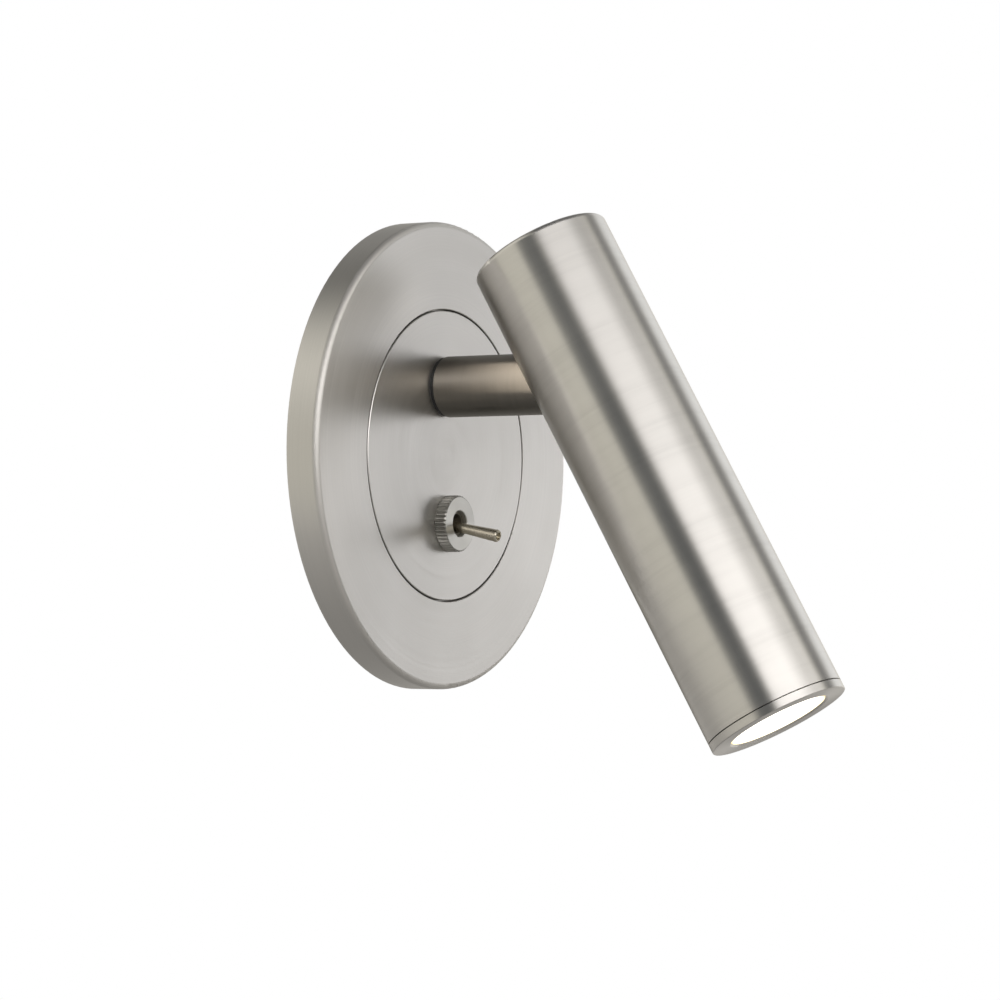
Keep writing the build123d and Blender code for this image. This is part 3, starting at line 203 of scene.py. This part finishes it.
def brushed_metal(
    name, origin, axis, colour, roughness, line, line_depth=1.0, anisotropy=0.7, grain=1.0, banding=0.035,
    knurl=None, edge=None,
):
    """Metal brushed round an axis: grooves a line apart round the sides and rings on the ends, with soft bands.

    grain says how strongly the grooves change the tone and the roughness, and banding how dark the bands are.
    Near the radius knurl and beyond it, the metal is darker: painted shade in the cuts of a knurl. In edge are the
    radius and the place along the axis where a rounded front edge starts, which is less smoothly brushed."""
    material, graph = new_material(name)
    along, out, direction = about_axis(graph, origin, axis)
    travel = graph.math("ADD", along, graph.math("MULTIPLY", out, RING_SHARE))

    def brushed_noise(turned, per_metre, *character):
        lengthwise = graph.scale(axis, graph.math("MULTIPLY", travel, per_metre))
        return graph.noise(graph.vector("ADD", graph.scale(direction, turned), lengthwise), 1.0, *character)

    grooves = brushed_noise(GROOVES_ROUND, 1.0 / line, GROOVE_DETAIL, GROOVE_HARSHNESS)
    bands = brushed_noise(BANDS_ROUND, BANDS_PER_METRE)
    patches = graph.noise(graph.place(), PATCHES_PER_METRE, PATCH_DETAIL)

    groove_roughness = [roughness + change * grain for change in GROOVE_ROUGHNESS]
    rough = graph.math(
        "ADD", graph.remap(grooves, WIDE, groove_roughness), graph.remap(patches, WIDE, PATCH_ROUGHNESS)
    )
    if edge:
        radius, start = edge
        outside = graph.remap(out, (radius, radius + EDGE_FADE_OUT))
        forward = graph.remap(along, (start - EDGE_FADE_FORWARD, start), (1.0, 0.0))
        on_edge = graph.math("MULTIPLY", outside, forward)
        rough = graph.math("ADD", rough, graph.math("MULTIPLY", on_edge, EDGE_ROUGHNESS))

    banded = graph.mottle(bands, NARROW, shade(colour, 1 - banding), shade(colour))
    tone = graph.mottle(grooves, WIDE, shade(colour, 1 - GROOVE_DARKENING * grain), banded)
    # Painted shade: from just inside the knurl's radius outwards, the tone turns darker, standing for shade in the
    # knurl's cuts.
    if knurl:
        tone = graph.mix(graph.remap(out, (knurl - KNURL_SHADE_FADE, knurl)), tone, shade(colour, KNURL_PAINTED_SHADE))

    # The tangent lies square to the grooves, in the surface.
    normal = graph.carry("NORMAL", graph.add("ShaderNodeNewGeometry").outputs["Normal"], "WORLD", "OBJECT")
    tangent = graph.vector("CROSS_PRODUCT", normal, graph.vector("CROSS_PRODUCT", axis, direction))
    graph.finish_principled({
        "Base Color": tone,
        "Metallic": 1.0,
        "Roughness": rough,
        "Normal": graph.bump(grooves, GROOVE_BUMP * line_depth, GROOVE_HEIGHT),
        "Anisotropic": anisotropy,
        "Tangent": graph.carry("VECTOR", tangent, "OBJECT", "WORLD"),
    })
    return material


# ---------------------------------------------------------------- plain metal, moulded parts and the lens

# Noise scales are per metre. The grain moves the roughness and the bump, and patches are a darker shade.
METAL = {
    "metallic": 1.0,
    "grain": 900.0, "grain_detail": 4.0, "grain_roughness": (-0.06, 0.08),
    "bump": 0.25, "bump_height": 0.03 * MM,
    "patches": 120.0, "patch_span": NARROW, "patch_shade": 0.88,
}
MOULDED = {
    "metallic": 0.0,
    "grain": 1400.0, "grain_detail": 3.0, "grain_roughness": (-0.07, 0.07),
    "bump": 0.3, "bump_height": 0.04 * MM,
    "patches": 150.0, "patch_span": WIDE, "patch_shade": 0.85,
}
GRAIN_HARSHNESS = 0.6


def grained(name, colour, roughness, look, **changes):
    """Metal or a moulded material with a fine even grain. Changes take the place of values in the look."""
    look = {**look, **changes}
    material, graph = new_material(name)
    place = graph.place()
    fine = graph.noise(place, look["grain"], look["grain_detail"], GRAIN_HARSHNESS)
    patches = graph.noise(place, look["patches"])
    graph.finish_principled({
        "Base Color": graph.mottle(
            patches, look["patch_span"], shade(colour, look["patch_shade"]), shade(colour)
        ),
        "Metallic": look["metallic"],
        "Roughness": graph.remap(fine, WIDE, [roughness + change for change in look["grain_roughness"]]),
        "Normal": graph.bump(fine, look["bump"], look["bump_height"]),
    })
    return material


LENS_EDGE = (11.1 * MM, 12.1 * MM)
LENS_MOTTLES_PER_METRE = 700.0
LENS_COLOUR = rgb(0.6, 0.55, 0.48)
LENS_MIDDLE_GLOWS = rgb(2.5, 2.32, 2.0), rgb(2.6, 2.45, 2.2)
LENS_EDGE_GLOW = rgb(1.15, 0.92, 0.45)


def glowing_lens(name):
    """The lit lens: warm white, turning yellow in a thin ring at its edge."""
    material, graph = new_material(name)
    _, out, _ = about_axis(graph, HEAD_PIVOT, HEAD_UP)
    middle = graph.mottle(graph.noise(graph.place(), LENS_MOTTLES_PER_METRE), WIDE, *LENS_MIDDLE_GLOWS)
    graph.finish_principled({
        "Base Color": LENS_COLOUR,
        "Roughness": 0.18,
        "Emission Color": graph.mix(graph.step_up(out, *LENS_EDGE), middle, LENS_EDGE_GLOW),
        "Emission Strength": 1.0,
    })
    return material


# ---------------------------------------------------------------- materials of the pieces

NICKEL = (0.70, 0.685, 0.655)
plate_metal = brushed_metal(
    "plate_nickel", PLATE_CENTRE, INWARD, NICKEL, 0.40, line=0.30 * MM, line_depth=0.7, anisotropy=0.30,
    edge=(56.1 * MM, -7.1 * MM),
)
disc_metal = brushed_metal(
    "disc_nickel", PLATE_CENTRE, INWARD, NICKEL, 0.40, line=0.30 * MM, line_depth=0.5, anisotropy=0.25
)
# Painted shade: the arm and the hinge block are the same nickel as the plate, painted much darker for the shade they
# sit in.
shaded_arm_metal = brushed_metal(
    "arm_nickel_painted_shade", ARM_CENTRE, INWARD, (0.20, 0.190, 0.172), 0.32, line=0.9 * MM, line_depth=0.3
)
head_metal = brushed_metal(
    "head_nickel", HEAD_PIVOT, HEAD_UP, NICKEL, 0.30, line=0.9 * MM, line_depth=0.0, anisotropy=0.8, grain=0.28,
    banding=0.09,
)
nut_metal = brushed_metal(
    "nut_nickel", SWITCH_CENTRE, INWARD, (0.68, 0.67, 0.63), 0.42, line=0.2 * MM, knurl=6.6 * MM
)
lever_metal = brushed_metal(
    "lever_nickel", LEVER_PIVOT, LEVER_OUT, (0.56, 0.52, 0.43), 0.24, line=0.6 * MM, line_depth=0.1, anisotropy=0.3
)
# Painted shade: the bushing, down in the nut's hole, is nickel painted dark brown for the shade it sits in.
shaded_bushing_metal = grained("bushing_nickel_painted_shade", (0.30, 0.28, 0.24), 0.4, METAL)
zinc = grained("zinc_plated_steel", (0.60, 0.61, 0.63), 0.38, METAL)
spring_steel = grained("spring_steel", (0.42, 0.42, 0.43), 0.35, METAL)
brass = grained("machined_brass", (0.78, 0.60, 0.30), 0.30, METAL)
cast = grained("cast_aluminium", (0.72, 0.72, 0.73), 0.48, METAL, grain=500.0)
black_nylon = grained("black_nylon", (0.012, 0.012, 0.013), 0.5, MOULDED)
pale_nylon = grained("pale_nylon", (0.80, 0.79, 0.73), 0.45, MOULDED)
silicone = grained("silicone", (0.75, 0.75, 0.72), 0.6, MOULDED)
board = grained("circuit_board", (0.03, 0.17, 0.07), 0.4, MOULDED)
component = grained("component_bodies", (0.05, 0.05, 0.06), 0.45, MOULDED)
white_board = grained("white_board", (0.85, 0.85, 0.82), 0.4, MOULDED)
phosphor = grained("phosphor", (0.9, 0.72, 0.15), 0.6, MOULDED)
insulation = grained("wire_insulation", (0.75, 0.74, 0.72), 0.5, MOULDED, bump=0.1)
lens_glow = glowing_lens("lens_glow")

MATERIAL_PIECES = {
    plate_metal: ["canopy_ring"],
    disc_metal: ["front_disc"],
    shaded_arm_metal: ["arm_tube", "hinge_block"],
    head_metal: ["head_tube", "bezel_ring", "top_cap"],
    nut_metal: ["switch_face_nut"],
    shaded_bushing_metal: ["switch_bushing"],
    lever_metal: ["switch_lever"],
    zinc: [
        "wall_bracket", "disc_screws", "grub_screws", "earth_screw", "earth_washer", "block_screw", "back_washer",
        "stop_washer", "swivel_locknut", "core_screws", "led_screws", "pivot_bolt", "pivot_nut",
        "switch_lock_washer", "switch_hex_nut", "stop_pin",
    ],
    spring_steel: ["swivel_spring", "tilt_springs", "switch_spring"],
    brass: [
        "swivel_nipple", "arm_plug", "switch_terminals", "contact_rocker", "switch_plunger", "terminal_inserts",
        "terminal_screws",
    ],
    cast: ["hinge_core", "heat_sink"],
    black_nylon: ["base_washer", "tilt_washers", "driver_case", "switch_body", "optic_holder"],
    pale_nylon: ["terminal_block"],
    silicone: ["lens_gasket"],
    board: ["driver_board"],
    component: ["driver_components"],
    white_board: ["led_board"],
    phosphor: ["led_chip"],
    insulation: ["arm_wires", "supply_leads", "led_leads", "switch_lead"],
    lens_glow: ["lens"],
}
for material, names in MATERIAL_PIECES.items():
    for name in names:
        for slot in nodes[name].material_slots:
            slot.material = material

# ---------------------------------------------------------------- studio

# Metal sees a studio that stands round the head's own axis. A direction in it is given by its turn round that
# axis, in degrees from STUDIO_FRONT, which faces the camera, and by its rise along the axis, from -1 to 1. Upright
# strips, bright and dark, stand in front of a plain card, each over the ones before it in the list. Where one
# leans, its turns are those at LEAN_RISE.
STUDIO_FRONT = Vector((-0.872, -0.429, 0.235))
STUDIO_SIDE = HEAD_UP.cross(STUDIO_FRONT)
STUDIO_CARD = rgb(0.70, 0.675, 0.60)
STRIPS = [
    # from turn, to turn, softness, lean with rise, lowest rise, highest rise, colour
    (-230, -112, 30, 0, -2, 2, rgb(0.15, 0.14, 0.115)),
    (3, 92, 7, 12, 0.18, 2, grey(0.06)),
    (52, 92, 8, 0, -2, 0.18, rgb(1.70, 1.66, 1.61)),
    (118, 155, 9, 0, -0.1, 2, rgb(0.92, 0.92, 0.915)),
    (97, 118, 7, 0, -2, 2, rgb(0.29, 0.286, 0.28)),
    (97, 126, 6, 0, -2, 0.06, grey(0.15)),
    (112, 185, 10, 0, -2, -0.40, rgb(0.14, 0.14, 0.138)),
    (104, 175, 10, 0, 0.50, 2, rgb(0.25, 0.245, 0.24)),
    (-1, 54, 5, 20, -2, 0.18, rgb(3.02, 2.95, 2.92)),
    (46, 62, 8, 20, -2, 0.18, rgb(2.25, 2.20, 2.16)),
    (-33, -1, 4, 20, -2, 0.48, rgb(0.030, 0.038, 0.050)),
    (-20, 114, 14, 0, -2, -0.40, rgb(0.08, 0.078, 0.07)),
    (-95, -20, 12, 0, 0.62, 2, rgb(0.95, 0.92, 0.84)),
]
LEAN_RISE = 0.2556
RISE_SOFTNESS = 0.12

# In front of the strips stand a bright window for the plate and a dark ceiling. Each pair of numbers is where one of
# their soft ends begins and where it is complete. A height is counted from level, from -1 to 1, up or down.
WINDOW_START = (114, 129)
WINDOW_END = (157, 173)
WINDOW_HEIGHT = (0.03, 0.20)
WINDOW_TOP = (-0.17, 0.07)
WINDOW_COLOUR = rgb(2.36, 2.35, 2.40)
CEILING_HEIGHT = (0.66, 0.93)
CEILING_COVER = 0.9
CEILING_COLOUR = grey(0.12)

# The camera and glass see plain white. Everything else is lit from all round by an even grey.
FILL = grey(0.80)
WHITE = grey(1)

world = bpy.data.worlds.new("studio")
world.use_nodes = True
bpy.context.scene.world = world
sky = Graph(world.node_tree)
ray = sky.add("ShaderNodeTexCoord").outputs["Generated"]
rise = sky.dot(ray, HEAD_UP)
angle = sky.math("ARCTAN2", sky.dot(ray, STUDIO_SIDE), sky.dot(ray, STUDIO_FRONT))
turn = sky.math("MULTIPLY", angle, degrees(1))
cards = STUDIO_CARD
for start, end, softness, lean, lowest, highest, colour in STRIPS:
    leaned = sky.math("ADD", turn, sky.math("MULTIPLY", sky.math("SUBTRACT", rise, LEAN_RISE), lean))
    across = sky.between(leaned, start, end, softness)
    cover = sky.math("MULTIPLY", across, sky.between(rise, lowest, highest, RISE_SOFTNESS))
    cards = sky.mix(cover, cards, colour)

height = sky.dot(ray, (0, 0, 1))
window = sky.math("MULTIPLY", sky.step_up(turn, *WINDOW_START), sky.step_down(turn, *WINDOW_END))
window = sky.math("MULTIPLY", window, sky.step_down(sky.math("ABSOLUTE", height), *WINDOW_HEIGHT))
window = sky.math("MULTIPLY", window, sky.step_down(rise, *WINDOW_TOP))
cards = sky.mix(window, cards, WINDOW_COLOUR)
cards = sky.mix(sky.step_up(height, *CEILING_HEIGHT, CEILING_COVER), cards, CEILING_COLOUR)

seen, off_metal = sky.looked_at()
backdrop = sky.mix(seen, FILL, sky.mix(off_metal, WHITE, cards))
background = sky.add("ShaderNodeBackground", {"Color": backdrop, "Strength": 1.0})
sky.finish(background, "ShaderNodeOutputWorld")


def soft_light(name, position, target, size, power, colour, in_metal=False):
    """A round light facing a target, with its size in metres and its power in watts. Metal shows it if in_metal."""
    data = bpy.data.lights.new(name, "AREA")
    data.shape = "DISK"
    data.size = size
    data.energy = power
    data.color = colour
    light = bpy.data.objects.new(name, data)
    light.location = position
    light.rotation_euler = (target - Vector(position)).to_track_quat("-Z", "Y").to_euler()
    light.visible_glossy = in_metal
    bpy.context.scene.collection.objects.link(light)
    return light


soft_light("key", (-1.0, -1.0, 1.2), HEAD_PIVOT, size=0.8, power=6.0, colour=(1.0, 0.98, 0.95))

# A warm card lights only the arm, which the plate and the head keep in the dark.
arm_card = soft_light(
    "arm_card", (-0.36, 0.24, 0.20), ARM_MIDDLE, size=1.3, power=13.8, colour=(1.0, 0.875, 0.74), in_metal=True
)
arm_only = bpy.data.collections.new("arm_only")
for name in MATERIAL_PIECES[shaded_arm_metal]:
    arm_only.objects.link(nodes[name])
arm_card.light_linking.receiver_collection = arm_only
arm_card.light_linking.blocker_collection = arm_only

# ---------------------------------------------------------------- floor

FLOOR_HEIGHT = -0.32
FLOOR_RADIUS = 1.0
FLOOR_CORNERS = 72

# Where the floor is looked at, most of it is an even white glow, and the rest is lit paper. In metal the glow is
# warmer and dimmer, and dimmest under the lamp.
PAPER_MOTTLES_PER_METRE = 60.0
PAPER_DETAIL = 3.0
PAPER_COLOURS = grey(0.80), grey(0.84)
GLOW_SHARE = 0.88
GLOW_STRENGTH = 1.06
GLOW_IN_METAL = rgb(1, 0.96, 0.90)
GLOW_LEVELS_IN_METAL = (0.15, 0.62)

angles = [radians(360 / FLOOR_CORNERS * corner) for corner in range(FLOOR_CORNERS)]
rim = [(FLOOR_RADIUS * cos(angle), FLOOR_RADIUS * sin(angle), FLOOR_HEIGHT) for angle in angles]
floor_data = bpy.data.meshes.new("floor")
floor_data.from_pydata(rim, [], [range(FLOOR_CORNERS)])
floor = bpy.data.objects.new("floor", floor_data)
bpy.context.scene.collection.objects.link(floor)

floor_material, ground = new_material("pale_floor")
place = ground.place()
paper = ground.mottle(ground.noise(place, PAPER_MOTTLES_PER_METRE, PAPER_DETAIL), WIDE, *PAPER_COLOURS)
matt = ground.add("ShaderNodeBsdfDiffuse", {"Color": paper})
from_middle = ground.length(ground.vector("MULTIPLY", place, (1, 1, 0)))
level = ground.remap(from_middle, (0.0, FLOOR_RADIUS), GLOW_LEVELS_IN_METAL)
seen, off_metal = ground.looked_at()
glow_colour = ground.mix(off_metal, WHITE, ground.mix(level, grey(0), GLOW_IN_METAL))
glow = ground.add("ShaderNodeEmission", {"Color": glow_colour, "Strength": GLOW_STRENGTH})
share = ground.math("MULTIPLY", seen, GLOW_SHARE)
ground.finish(ground.add("ShaderNodeMixShader", {0: share, 1: matt.outputs[0], 2: glow.outputs[0]}))
floor_data.materials.append(floor_material)

bpy.context.scene.view_settings.view_transform = "Standard"
